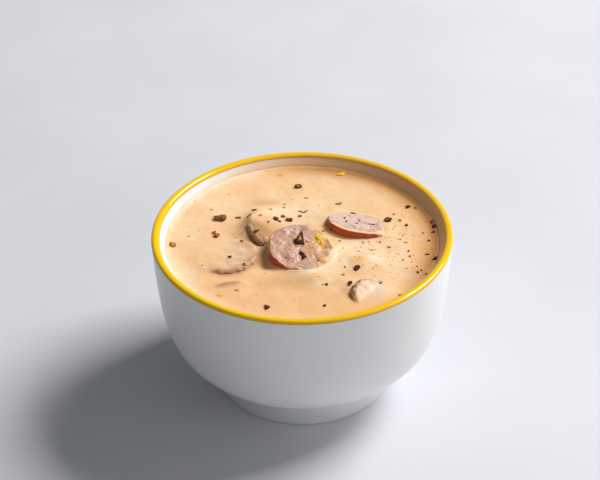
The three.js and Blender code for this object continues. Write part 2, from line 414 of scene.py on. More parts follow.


# ======================================================================================
# Sausage slices
# Cooked smoked sausage cut across: coarse pink meat with paler fat in a red-brown skin that
# draws in a little. Six of them lie in the soup, tilted, some of them filmed over with it.
# ======================================================================================

# half: half length and half width. turn: of the long side, in degrees. thick: from face to face.
# lean, towards: how far the cut face tips over, and which way. phase: where the outline's
# unevenness starts. ragged: how far its edge wavers. round: the rounding of its edges.
# coarse: depth of the meat's lumps. dome: how far the face sinks towards its edge. pallor: how
# much more fat there is in the meat.
# coat: the soup lies over the face from this share of its radius on, in this direction.
# glaze: the least share of the soup's colour anywhere on the face.
# film: the soup closes over the slice with this thickness, or leaves it open if there is none.
# bare: the skin shows in this direction, for so many degrees to each side.
# edging: a line of soup lies along the face's edge in this direction.
# smear, casing: shares of the soup's and of the skin's own colour on the skin where it shows.
# the highlight line: a painted highlight on the soup that climbs to the slice lies along its edge in
# this direction, so many degrees each way.
# climb, sink: how high the soup climbs beside the slice, and how far its coated end sinks in.
# browned and seen: how far the skin shows through the film, and how strongly the meat does; on the back
# slice the skin's wide reach also paints the shade on its rounded shoulder.
SLICES = {
    "sausage_slice_centre": dict(half=(13.8, 13.7), turn=0, thick=4.2, lean=14, towards=-64,
                                 phase=0.4, coarse=0.62, coat=(-22, 0.64), glaze=0.38,
                                 pallor=-0.2, bare=(222, 36), smear=0.05, ragged=0.22,
                                 froth=(-38, 62)),
    "sausage_slice_behind": dict(half=(15.0, 14.6), turn=0, thick=4.8, lean=15, towards=10,
                                 phase=2.1, coarse=0.2, coat=(0, -1.3), film=0.3, round=2.2,
                                 bare=(205, 36), dome=0.9, smear=0.6, browned_and_shade=7.5, seen=0.35),
    "sausage_slice_right": dict(half=(14.2, 9.3), turn=-16, thick=5.2, lean=10, towards=45,
                                phase=3.3, coarse=0.12, coat=(0, 0.62), edging=-80,
                                glaze=0.03, pallor=0.3, bare=(240, 80), smear=0.0,
                                climb=0.3, sink=0.5),
    "sausage_slice_left": dict(half=(12.8, 11.8), turn=20, thick=5.0, lean=6, towards=130,
                               phase=4.9, coarse=0.25, coat=(90, -1.3), film=0.3, bare=(-52, 74),
                               smear=0.42, casing=0.65, browned_and_shade=1.8, ragged=0.3, seen=0.5),
    "sausage_piece_front_left": dict(half=(8.6, 5.6), turn=14, thick=4.2, lean=22, towards=-78,
                                     phase=1.2, coarse=0.3, coat=(0, -1.3), film=0.35,
                                     bare=(108, 50), smear=0.4, browned_and_shade=2.2, seen=0.3),
    "sausage_piece_front_right": dict(half=(9.2, 9.0), turn=0, thick=4.6, lean=40, towards=-42,
                                      phase=5.6, coarse=0.5, coat=(-30, 0.4), film=0.35,
                                      glaze=0.5, bare=(142, 84), smear=0.42, casing=0.5,
                                      browned_and_shade=1.2, ragged=0.25, seen=0.6),
}
SKIN_ROUNDING = 0.9  # of a slice's edges, unless the slice has a rounding of its own
SKIN_DRAWN_IN = 0.015  # share of the width by which it is narrower half-way down
SKIN_WRINKLE, WRINKLE_SIZE = 0.13, 2.2  # height and width
SKIN_FOLD, FOLD_SIZE = 0.10, 3.4
EDGE_RAGGED, RAGGED_SIZE = 0.1, 3.4  # of an outline, unless the slice has a figure of its own
MEAT_LUMP, MEAT_CRUMB, MEAT_SWELL, MEAT_GRAIN = 3.1, 1.5, 6.5, 1.3  # widths
MEAT_WARP = 0.7  # how far lumps and crumbs are pushed out of line
LUMP_DEPTH, CRUMB_DEPTH, SWELL_DEPTH = 0.95, 0.22, 0.26  # over how coarse the meat is
GRAIN_DEPTH = 0.03
COAT_PATCHES = [(0.13, 4.0, 300), (0.06, 1.6, 320)]  # strength, size and first seed
DISH_DEPTH = 0.12
FACE_RINGS, EDGE_RINGS, SIDE_RINGS, BACK_RINGS = 56, 9, 10, 8
SLICE_STEPS = 200  # round a slice
MEAT_PINK = (0.57, 0.35, 0.315, 1)
MEAT_BROWN = (0.47, 0.27, 0.19, 1)
MEAT_FILMED = (0.61, 0.345, 0.19, 1)  # under a thin film of soup
FAT_PALE = (0.82, 0.60, 0.54, 1)
SKIN_RED = (0.56, 0.085, 0.014, 1)
SKIN_DARK = (0.30, 0.045, 0.010, 1)
SKIN_SEEN_AND_SHADE = (0.44, 0.20, 0.085, 1)  # through the soup, and dark enough to paint the shade on the back slice's shoulder as well
SKIN_FILMED = (0.54, 0.29, 0.145, 1)


WAVE_COUNT = 22


def waves(x, y, size, seed):
    """A smooth random surface from about -1 to 1: a sum of cosines with random directions and
    starts, whose wavelengths lie around a size in millimetres."""
    draw = np.random.default_rng(seed)
    number = 2 * math.pi / (size * draw.uniform(0.7, 1.5, WAVE_COUNT))
    direction, start = draw.uniform(0, 2 * math.pi, (2, WAVE_COUNT))
    x, y = np.asarray(x, float)[..., None], np.asarray(y, float)[..., None]
    total = np.cos(number * (x * np.cos(direction) + y * np.sin(direction)) + start).sum(-1)
    return total / math.sqrt(WAVE_COUNT)


def grains(x, y, size, seed):
    """Grains packed side by side. One point lies at random in each square of a grid; a place
    belongs to the nearest point. Gives the distance to it in sizes, and its random number."""
    draw = np.random.default_rng(seed)
    spread = 64  # squares along the grid, after which it repeats
    jitter_x, jitter_y, number = draw.uniform(0, 1, (3, spread, spread))
    x, y = np.asarray(x, float) / size, np.asarray(y, float) / size
    column, row = np.floor(x).astype(int), np.floor(y).astype(int)
    nearest = np.full(x.shape, np.inf)
    chosen = np.zeros(x.shape)
    for across in (-1, 0, 1):
        for along in (-1, 0, 1):
            i, j = (column + across) % spread, (row + along) % spread
            distance = np.hypot(column + across + jitter_x[i, j] - x,
                                row + along + jitter_y[i, j] - y)
            closer = distance < nearest
            chosen = np.where(closer, number[i, j], chosen)
            nearest = np.where(closer, distance, nearest)
    return nearest, chosen


def soft_step(value, start, end):
    """0 up to start, 1 from end on, and the smooth cubic step between."""
    t = np.clip((value - start) / (end - start), 0, 1)
    return t * t * (3 - 2 * t)


# Soft spots on the food: the pixel where each is seen, its half width and half depth in millimetres and
# its strength. Orange and yellow oil has soaked in. The browner spots are painted shade, in the slices'
# shadows and in the hollows beside them. The paler spots are painted highlights on lit swells and where
# the soup climbs to the slices, partly froth.
OIL_ORANGE = (0.86, 0.36, 0.06, 1)
OIL_SPOTS = {
    "back_left": (280.3, 175.3, 2.4, 2.6, 0.4), "back": (341.0, 173.0, 5.0, 2.0, 0.35),
    # The spot along the back wall is partly oil and partly painted shade on the soup there.
    "back_wall_oil_and_shade": (312.0, 168.5, 30.0, 1.6, 0.25), "on_the_slice": (324.0, 262.0, 3.0, 3.4, 0.5),
    "mound": (359.5, 261.0, 3.6, 1.6, 0.5), "right": (420.0, 247.0, 3.0, 5.0, 0.2),
    "speck_right": (394.0, 278.4, 1.3, 0.8, 0.4), "front_left": (219.0, 295.5, 2.0, 1.5, 0.4),
    "beside_it": (246.0, 298.0, 4.5, 3.0, 0.12), "front_right": (371.5, 285.0, 1.5, 1.5, 0.35),
    "right_slice_tip": (330.0, 209.0, 3.0, 3.5, 0.35), "on_it_left": (272.0, 243.0, 1.8, 3.0, 0.3),
    "middle_front": (300.0, 292.0, 9.0, 4.0, 0.12), "on_it_right": (308.0, 247.5, 3.5, 2.5, 0.3),
}
OIL_YELLOW = (1.0, 0.55, 0.02, 1)
YELLOW_SPOTS = {"upper": (319.0, 238.4, 2.3, 3.0, 0.95), "lower": (322.2, 243.8, 2.0, 3.0, 0.6)}
# Painted shade: browner soup in the slices' shadows and in the hollows beside and in front of them.
SOUP_SHADE_BROWN = (0.62, 0.34, 0.12, 1)
SHADE_SPOTS = {
    "before_the_middle_slice": (289.0, 282.0, 13.0, 6.0, 0.65),
    "left_of_it": (259.0, 262.0, 5.5, 7.0, 0.7), "behind_it": (264.0, 203.0, 8.0, 3.2, 0.6),
    "left_of_the_back_slice": (243.0, 229.0, 3.0, 7.0, 0.1),
    "over_the_back_slice": (265.0, 235.0, 9.0, 10.0, 0.9),
    "under_the_left_slice": (232.0, 276.0, 9.0, 2.5, 0.25),
    "front_left_piece": (227.0, 286.5, 7.5, 3.4, 0.3), "left_of_that": (207.0, 285.0, 7.0, 5.0, 0.2),
    "middle_front": (285.0, 299.0, 17.0, 7.0, 0.17), "front_shade": (335.0, 297.0, 8.0, 4.0, 0.2),
    "front_right_piece": (345.0, 291.0, 2.2, 4.0, 0.6), "behind_that": (354.0, 274.0, 6.0, 3.0, 0.2),
}
# Painted highlights, partly froth: paler soup on lit swells and ridges and where the soup climbs to the
# slices.
SOUP_FROTH_AND_HIGHLIGHT = (0.97, 0.79, 0.62, 1)
FROTH_AND_HIGHLIGHT_SPOTS = {
    "back_slice": (294.0, 212.0, 6.5, 5.5, 0.55), "beyond_it": (318.0, 211.0, 6.0, 8.0, 0.35),
    "its_corner": (327.0, 270.0, 4.5, 2.5, 0.5), "right_of_it": (356.0, 248.0, 9.0, 6.0, 0.65),
    "mound_left": (345.0, 261.5, 1.6, 3.6, 0.95), "mound_right": (375.5, 258.5, 3.8, 2.4, 1.0),
    "right_middle": (405.0, 252.0, 7.0, 6.0, 0.3), "right_front": (402.0, 277.0, 6.0, 5.0, 0.4),
    "front_left": (319.0, 284.0, 2.4, 2.6, 0.7), "front_right": (331.0, 279.0, 2.2, 2.2, 0.4),
    "left_slice": (253.0, 247.0, 4.0, 4.0, 0.35), "front_piece": (373.0, 289.0, 6.0, 7.0, 0.9),
}


def level_soup(x, y):
    """The soup's level, without its swells."""
    return SOUP_LEVEL + 0.0 * x


def spotted(spots, x, y, surface=level_soup):
    """Share of a table's spots at a place: bell-shaped, the strongest one counting."""
    share = np.zeros(np.shape(x))
    for column, row, half_width, half_depth, strength in spots.values():
        spot_x, spot_y = seen_at(column, row, surface)
        spread = ((x - spot_x) / half_width) ** 2 + ((y - spot_y) / half_depth) ** 2
        share = np.maximum(share, strength * np.exp(-spread))
    return share


def outline(angle, phase):
    """Where a slice's edge lies, over a true ellipse: 1 and three cosines of the angle."""
    return (1 + 0.016 * np.cos(2 * angle + phase) + 0.012 * np.cos(3 * angle + 2 * phase)
            + 0.008 * np.cos(5 * angle - phase))


def slice_pose(name):
    """The turn and the place of a slice: columns are its long side, its wide side and its
    face's upward direction, and the place is the middle of the face."""
    shape = SLICES[name]
    towards, lean = math.radians(shape["towards"]), math.radians(shape["lean"])
    tipped = Matrix.Rotation(lean, 3, Vector((-math.sin(towards), math.cos(towards), 0)))
    turned_by = Matrix.Rotation(math.radians(shape["turn"]), 3, "Z")
    turn = np.array(tipped @ turned_by)
    low, high = (np.array(corner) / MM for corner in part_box(name))
    return turn, (low + high) / 2 + turn[:, 2] * shape["thick"] / 2


def on_slice(name, x, y):
    """Where the upright line at (x, y) meets the plane of a slice's face: the height there, and
    the place on the face in millimetres along its long and wide sides."""
    turn, middle = slice_pose(name)
    normal = turn[:, 2]
    height = middle[2] - (normal[0] * (x - middle[0]) + normal[1] * (y - middle[1])) / normal[2]
    offset = np.stack([x - middle[0], y - middle[1], height - middle[2]], axis=-1)
    return height, offset @ turn[:, 0], offset @ turn[:, 1]


def face_share(name, along, across):
    """How far out a place on a slice lies, as a share of the way from its middle to its edge."""
    long, wide = SLICES[name]["half"]
    angle = np.arctan2(across / wide, along / long)
    return np.hypot(along / long, across / wide) / outline(angle, SLICES[name]["phase"])


def coat_reach(name, along, across):
    """How far a place lies out in the direction of the slice's coat, over the half length."""
    turn = math.radians(SLICES[name]["coat"][0])
    return (along * math.cos(turn) + across * math.sin(turn)) / SLICES[name]["half"][0]


def slice_seed(name, start, step=1):
    """The start of a slice's own random numbers: counted up from a first one, in order."""
    return start + step * list(SLICES).index(name)


def meat_grains(name, along, across):
    """The lumps and the crumbs of the meat as two sets of grains, on places that waves push out
    of line."""
    seed = slice_seed(name, 40, 10)
    warp = MEAT_WARP * waves(along, across, 5.0, seed + 1)
    return (grains(along + warp, across - warp, MEAT_LUMP, seed + 2),
            grains(along - warp, across + warp, MEAT_CRUMB, seed + 3))


def face_relief(name, along, across):
    """Height of the meat above the plane of the cut.

    Lumps and crumbs are caps, a constant less the square of the distance to their middles, and
    they and broad waves are deeper where the meat was ground coarse. A shallow dish lies inside
    the skin, all of that fades out over the rounded edge, and the slice's dome and sunken end
    are taken off."""
    shape = SLICES[name]
    seed = slice_seed(name, 40, 10)
    (lump, _), (crumb, _) = meat_grains(name, along, across)
    relief = shape["coarse"] * (LUMP_DEPTH * (0.25 - lump**2) + CRUMB_DEPTH * (0.2 - crumb**2)
                                + SWELL_DEPTH * waves(along, across, MEAT_SWELL, seed + 4))
    relief += GRAIN_DEPTH * waves(along, across, MEAT_GRAIN, seed + 5)
    share = face_share(name, along, across)
    dish = DISH_DEPTH * soft_step(share, 0.95, 0.7)
    flat = 1 - shape.get("round", SKIN_ROUNDING) / shape["half"][0]
    sunken = shape.get("dome", 0) * soft_step(share, 0.3, 1.0)
    sunken = sunken + shape.get("sink", 0) * soft_step(
        coat_reach(name, along, across), shape["coat"][1], 1.0)
    return (relief - dish) * soft_step(share, 1.0, flat) - sunken


def slice_coat(name, along, across):
    """Share of the soup's colour in the film on the face, from 0 to 1.

    It is the greatest of the coat beyond its start, the edging line and the glaze, each broken
    up by the same patches."""
    shape = SLICES[name]
    start = shape["coat"][1]
    share = face_share(name, along, across)
    patchy = sum(strength * waves(along, across, size, slice_seed(name, first))
                 for strength, size, first in COAT_PATCHES)
    coat = soft_step(coat_reach(name, along, across) + patchy, start, start + 0.3)
    if "edging" in shape:
        side = np.cos(np.arctan2(across, along) - math.radians(shape["edging"]))
        line = soft_step(share + 0.25 * patchy, 0.6, 0.8) * soft_step(share, 0.985, 0.96)
        coat = np.maximum(coat, line * soft_step(side, -0.1, 0.4))
    thinner_rim = 1 - 0.3 * soft_step(share, 0.6, 0.9)
    glaze = shape.get("glaze", 0) * (1 + 2.2 * patchy) * thinner_rim
    return np.clip(np.maximum(coat, glaze), 0, 1)


def bare_share(name, x, y):
    """1 in the directions from a slice's middle in which its skin shows, 0 in the others."""
    middle = slice_pose(name)[1]
    direction, spread = np.radians(SLICES[name]["bare"])
    aside = np.abs((np.arctan2(y - middle[1], x - middle[0]) - direction + math.pi)
                   % (2 * math.pi) - math.pi)
    return soft_step(aside, spread + 0.3, spread - 0.3)


def slice_section(name):
    """Half of a slice's section, as columns: shares of the way out, and heights from the face.

    It runs from the middle of the face to its edge, round it, down the skin, which is drawn in
    by a sine, round the lower edge and back to the middle."""
    shape = SLICES[name]
    thick, rounding = shape["thick"], shape.get("round", SKIN_ROUNDING)
    flat = 1 - rounding / shape["half"][0]
    upper = np.linspace(0, math.pi / 2, EDGE_RINGS + 1)[1:]
    lower = upper - upper[0]
    down = np.linspace(0, 1, SIDE_RINGS + 2)[1:-1]
    share = np.concatenate([
        np.linspace(0, flat, FACE_RINGS), flat + (1 - flat) * np.sin(upper),
        1 - SKIN_DRAWN_IN * np.sin(math.pi * down),
        flat + (1 - flat) * np.cos(lower), np.linspace(flat, 0, BACK_RINGS)])
    height = np.concatenate([
        np.zeros(FACE_RINGS), -rounding * (1 - np.cos(upper)),
        -rounding - (thick - 2 * rounding) * down,
        -thick + rounding * (1 - np.sin(lower)), np.full(BACK_RINGS, -thick)])
    return share[:, None], height[:, None]


def slice_shape(name):
    """A slice as rings of points in the frame, with the numbers that its finish reads.

    Each ring is the section's share of the outline, which waves make ragged. The skin is
    wrinkled by waves of the length of arc and the depth, and the face is raised by its relief.
    The numbers are shares of fat, skin, the soup's colour, and orange and yellow oil."""
    shape = SLICES[name]
    long, wide = shape["half"]
    thick, phase, rounding = shape["thick"], shape["phase"], shape.get("round", SKIN_ROUNDING)
    share, height = slice_section(name)
    angle = np.linspace(0, 2 * math.pi, SLICE_STEPS, endpoint=False)
    ragged = shape.get("ragged", EDGE_RAGGED) / long * waves(
        long * np.cos(angle), long * np.sin(angle), RAGGED_SIZE, slice_seed(name, 530))
    edge = outline(angle, phase) * (1 + 0.006 * np.cos(9 * angle + phase) + ragged)
    depth = height + 0 * angle
    arc = angle * (long + wide) / 2 + 0 * depth
    wrinkle = (SKIN_WRINKLE * waves(arc, 2.4 * depth, WRINKLE_SIZE, slice_seed(name, 500))
               + SKIN_FOLD * np.abs(waves(arc, 0.6 * depth, FOLD_SIZE, slice_seed(name, 507))))
    on_side = soft_step(depth, -0.15, -1.1) * soft_step(-depth, thick, thick - 0.9)
    out = on_side * wrinkle
    along = share * long * edge * np.cos(angle) * (1 + out / long)
    across = share * wide * edge * np.sin(angle) * (1 + out / wide)
    on_face = (depth > -rounding) & (share < 1)
    relief = face_relief(name, along, across) * (1 + depth / rounding)
    raised = depth + np.where(on_face, relief, 0)
    turn, middle = slice_pose(name)
    rings = middle + np.stack([along, across, raised], axis=-1) @ turn.T

    (_, lump_number), (_, crumb_number) = meat_grains(name, along, across)
    fat = 0.6 * lump_number + 0.4 * crumb_number + shape.get("pallor", 0)
    fat = fat + 0.15 * soft_step(share, 0.76, 0.9)
    flat = 1 - rounding / long
    bare = bare_share(name, rings[..., 0], rings[..., 1])
    under_edge = soft_step(depth, -0.5, -1.3)
    skin = soft_step(share, flat - 0.1 / long, flat + 0.6 * rounding / long) + 0 * angle
    skin = np.maximum(skin, soft_step(depth, -0.25, -0.6))
    skin = skin * (0.3 + 0.7 * np.maximum(bare, under_edge)) * shape.get("casing", 1.0)
    on_edge = soft_step((share - 1) * long, -rounding - 0.5, -0.4 * rounding)
    on_skin = np.maximum(under_edge, on_edge * bare)
    smeared = 1 - bare * (1 - shape["smear"])
    coat = slice_coat(name, along, across) * (1 - on_skin) + smeared * on_skin

    def face_plane(x, y):
        """Height of the plane of the slice's face."""
        return on_slice(name, x, y)[0]

    oil, yellow = (spotted(spots, rings[..., 0], rings[..., 1], face_plane) * (depth > -0.5)
                   for spots in (OIL_SPOTS, YELLOW_SPOTS))
    return rings, {"fat": fat, "skin": skin, "coat": coat, "oil": oil, "yellow": yellow}


def sausage_finish():
    """Pink-brown meat with paler fat, a red-brown skin, and soup where it films them over."""
    finish, tree, shader, place = new_finish(
        "cooked_sausage", IOR=1.42, Subsurface_Weight=0.35, Subsurface_Scale=0.0012,
        Subsurface_Radius=(1.0, 0.45, 0.3), Roughness=0.45, Coat_Weight=0.14, Coat_Roughness=0.2)
    fat, skin, coat, oil, yellow = (
        point_numbers(tree, label) for label in ("fat", "skin", "coat", "oil", "yellow"))
    fibre = mottle(tree, place, 2.4, 3.0)
    browner = times(tree, faded(tree, fibre, 0.42, 0.72), 0.8)
    meat = mixed(tree, browner, MEAT_PINK, MEAT_BROWN)
    pale = faded(tree, summed(tree, fat, times(tree, fibre, 0.3)), 0.62, 1.0)
    meat = mixed(tree, times(tree, pale, 0.7), meat, FAT_PALE)
    casing = mixed(tree, faded(tree, mottle(tree, place, 4.5), 0.35, 0.85), SKIN_RED, SKIN_DARK)
    sausage = mixed(tree, skin, meat, casing)
    soup = use_effect(tree, soup_colour, {"Place": place}).outputs["Color"]
    filmed = mixed(tree, skin, MEAT_FILMED, SKIN_FILMED)
    filmed = mixed(tree, faded(tree, coat, 0.0, 0.6), sausage, filmed)
    coloured = mixed(tree, faded(tree, coat, 0.5, 1.0), filmed, soup)
    coloured = mixed(tree, yellow, mixed(tree, oil, coloured, OIL_ORANGE), OIL_YELLOW)
    tree.links.new(coloured, shader.inputs["Base Color"])
    roughen(tree, shader, place, 900.0, 0.00012, 0.5)
    return finish


cooked_sausage = sausage_finish()
for node in SLICES:
    slice_rings, slice_numbers = slice_shape(node)
    make_piece("cooked_" + node, *closed_rounds(slice_rings[None]), cooked_sausage, "sausage_meat",
               [node], {label: for_each_point(grid[None]) for label, grid in slice_numbers.items()})


# ======================================================================================
# Soup
# Thick, creamy cheese soup poured in to just below the rim. Its surface swells over what lies
# just under it, climbs a little at the wall, and carries a few spots of oil.
# ======================================================================================

# middle x, y, height and spread; the first six are the frame's own
SOUP_SWELLS = [
    (25.5, -17, 1.3, 6), (4, -25.5, 0.5, 5), (-41, -10, 0.5, 7), (-20.5, -1, -1.8, 5),
    (-16, -18, -1.2, 4.5), (-3, -34, -0.6, 7),
    (-18.5, 19, 1.3, 5), (33.5, -38.5, 1.1, 5.5), (33, -20, 0.5, 3), (19, -13, 0.45, 2.6),
    (16, -30, 0.4, 3), (21, -32, 0.35, 2.5), (12, 17, 0.5, 5), (-23.5, 5.5, 1.1, 3.6),
    (-20.5, 0.5, 0.9, 3.2),
]
SOUP_RIPPLES = [(0.08, 15, 11), (0.022, 5, 12), (0.005, 1.8, 13)]  # height, wavelength and seed
SOUP_CELLS = 264  # of the top, from side to side
SOUP_EDGE = WALL_RADIUS + 1.3  # inside the bowl's wall, where it can't be seen
SOUP_SIDE_START = 1.5  # below the level, where the side begins to follow the bowl's inside
SOUP_OVERLAP = 0.15  # of its side and underside with the bowl
WALL_CLIMB, CLIMB_REACH = 0.75, 1.5
SLICE_NEARBY = 2.0  # a slice lifts the soup up to so many times the way to its edge
SLICE_NEAR_HEIGHT = 8.0  # and the soup climbs to it where its face's plane is no further off
SLICE_CLIMB, SLICE_CLIMB_REACH = 0.85, 1.3  # up the side of a slice
SLICE_FILM = 0.15  # over an open slice's coated side
OPEN_LAP = 0.6  # share in which the soup laps over that side
FILM_WAVER, FILM_WAVER_SIZE = 0.35, 6.0  # share of a film's thickness
FILM_SOFTNESS, LAP_SOFTNESS, END_SOFTNESS = 1.8, 5.0, 4.0  # sharpness of its bends, per mm
FILM_REACH = 3.6  # past a slice's edge
WALL_OIL_AND_SHADOW = (0.54, 0.23, 0.06, 1)  # painted shadow of the rim on the soup along the wall, partly browned oil
# the lamp's side, where the rim's shadow falls on the soup, and how far the painted shadow reaches
WALL_SHADOW_TOWARDS, WALL_SHADOW_REACH = math.radians(30), 7.4
# a paler line of soup along the wall on the back-left, and its reach
WALL_PALE_LINE_TOWARDS, WALL_PALE_LINE_REACH = math.radians(138), 2.4
WALL_PALE_REACH = 5.0  # of the faint paler edge on the side away from the oil


def open_soup(x, y):
    """Height of the soup's open surface: its level, the swells as bell curves, the ripples as
    waves, and the climb at the wall, which falls off exponentially."""
    height = SOUP_LEVEL + 0.0 * x
    for middle_x, middle_y, rise, spread in SOUP_SWELLS:
        height = height + rise * np.exp(-((x - middle_x) ** 2 + (y - middle_y) ** 2) / spread**2)
    for rise, size, seed in SOUP_RIPPLES:
        height = height + rise * waves(x, y, size, seed)
    edge = np.clip(WALL_RADIUS + 0.1 - np.hypot(x, y), 0, None)
    return height + WALL_CLIMB * np.exp(-edge / CLIMB_REACH)


def soft_excess(value, softness):
    """The value where it is above 0 and nearly 0 where it is below, with a smooth bend between:
    the logarithm of 1 plus the exponential. The greater the softness, the sharper the bend."""
    return np.log(np.exp(softness * np.clip(value, -9, 9)) + 1) / softness


def soup_surface(x, y):
    """Height of the soup with its films, and how near below it the meat and its skin lie.

    Beside a slice the soup climbs to it, and it laps over the coated side of an open one. Over a
    filmed slice it lies like a blanket: it keeps its thickness over the face and falls away past
    the edge like a bell curve, except in the slice's bare directions, where it thins out and
    ends inside the rounded edge. The two shares fall from 1 as the soup gets deeper."""
    x, y = np.asarray(x, float), np.asarray(y, float)
    height = open_soup(x, y)
    meat_below, skin_below = np.zeros_like(height), np.zeros_like(height)
    for number, (name, shape) in enumerate(SLICES.items()):
        top, along, across = on_slice(name, x, y)
        share = face_share(name, along, across)
        beyond = (share - 1) * shape["half"][0]
        filmed = "film" in shape
        if filmed:
            bare = bare_share(name, x, y)
        else:
            start = shape["coat"][1]
            reach = coat_reach(name, along, across)
            bare = 1 - OPEN_LAP * soft_step(reach, start + 0.1, start + 0.4)

        climb = shape.get("climb", SLICE_CLIMB) * soft_step(share, 0.9, 1.0) * np.exp(
            -np.clip(beyond, 0, None) / SLICE_CLIMB_REACH)
        if filmed:
            climb = climb * (1 - 0.9 * bare)
        nearby = share < SLICE_NEARBY
        level_with = nearby & (np.abs(top - height) < SLICE_NEAR_HEIGHT)
        height = height + np.where(level_with, climb * soft_step(top - height, -1.0, 0.8), 0)

        relief = face_relief(name, along, across)
        film = shape.get("film", SLICE_FILM) * (
            1 + FILM_WAVER * waves(x, y, FILM_WAVER_SIZE, 80 + number))
        turn, middle = slice_pose(name)
        normal = turn[:, 2]
        top_at_edge = middle[2] - (normal[0] * (x - middle[0]) + normal[1] * (y - middle[1])) / (
            normal[2] * np.maximum(share, 1))
        blanket = soft_excess(top_at_edge + 0.6 * relief + film - height,
                              FILM_SOFTNESS if filmed else LAP_SOFTNESS)
        blanket = blanket * np.exp(-(np.clip(beyond + 0.6, 0, None) / FILM_REACH) ** 2)
        added = blanket * (1 - bare)
        if filmed:
            rounding = shape.get("round", SKIN_ROUNDING)
            over = np.clip((beyond + rounding) / rounding, 0, 1)
            fall = 1 - np.sqrt(1 - over**2)
            meat = top + relief * (1 - fall) - rounding * fall
            thinned = film - (film + 0.1) * soft_step(beyond, -rounding - 1.0, -0.1 * rounding)
            ending = soft_excess(meat + thinned - height, END_SOFTNESS)
            added = added + ending * soft_step(beyond, 0.2, -0.4) * bare
        height = height + np.where(nearby, added, 0)
        if filmed:
            depth = height - meat
            thin = soft_step(depth, 1.0, 0.12) * soft_step(share, 1.06, 0.98)
            rim = np.exp(-((beyond + 0.2) / shape["browned_and_shade"]) ** 2) * soft_step(depth, 2.2, 0.8)
            meat_below = np.maximum(meat_below, thin * shape["seen"])
            skin_below = np.maximum(skin_below, rim * bare)
    return height, meat_below, skin_below


def edge_froth(x, y):
    """Share of the painted highlight along slices' edges, where the soup climbs to them: a bell curve of
    the distance out from the edge, in the directions that a slice's highlight line gives."""
    froth = np.zeros(np.shape(x))
    for name, shape in SLICES.items():
        if "froth" not in shape:
            continue
        _, along, across = on_slice(name, x, y)
        beyond = (face_share(name, along, across) - 1) * shape["half"][0]
        direction, spread = np.radians(shape["froth"])
        aside = np.abs((np.arctan2(across, along) - direction + math.pi) % (2 * math.pi) - math.pi)
        line = np.exp(-((beyond - 0.9) / 1.1) ** 2) * soft_step(aside, spread, 0.6 * spread)
        froth = np.maximum(froth, line)
    return froth


def soup_shares(x, y):
    """Shares of oil, of painted highlight that is partly froth, and of painted shade over the soup's
    top. Beside their spots and the highlight along a slice, a painted shadow of the rim, partly browned
    oil, lies along the wall on the lamp's side, and paler soup lies along the wall on the left: a bell
    curve of the distance from the wall and a step of the direction each."""
    bearing, from_wall = np.arctan2(y, x), WALL_RADIUS + 0.6 - np.hypot(x, y)
    shadow_side, pale_side, froth_side = (
        np.cos(bearing - towards)
        for towards in (WALL_SHADOW_TOWARDS, WALL_FILM_SHADE_TOWARDS, WALL_PALE_LINE_TOWARDS))
    # painted shadow of the rim, partly browned oil
    wall_oil_and_shadow = np.exp(-(from_wall / WALL_SHADOW_REACH) ** 2) * soft_step(shadow_side, 0.1, 0.7)
    pale = 0.35 * np.exp(-(from_wall / WALL_PALE_REACH) ** 2) * soft_step(pale_side, -0.3, -0.9)
    froth = 0.9 * np.exp(-(from_wall / WALL_PALE_LINE_REACH) ** 2) * soft_step(froth_side, 0.75, 0.95)
    spots = np.maximum(spotted(FROTH_AND_HIGHLIGHT_SPOTS, x, y), edge_froth(x, y))
    return {"oil": spotted(OIL_SPOTS, x, y), "painted_shade": spotted(SHADE_SPOTS, x, y),
            "wall_oil_and_shadow": wall_oil_and_shadow * (0.6 + 0.4 * soft_step(from_wall, 0.4, 2.0)),
            "froth": np.maximum(spots, np.maximum(pale, froth))}


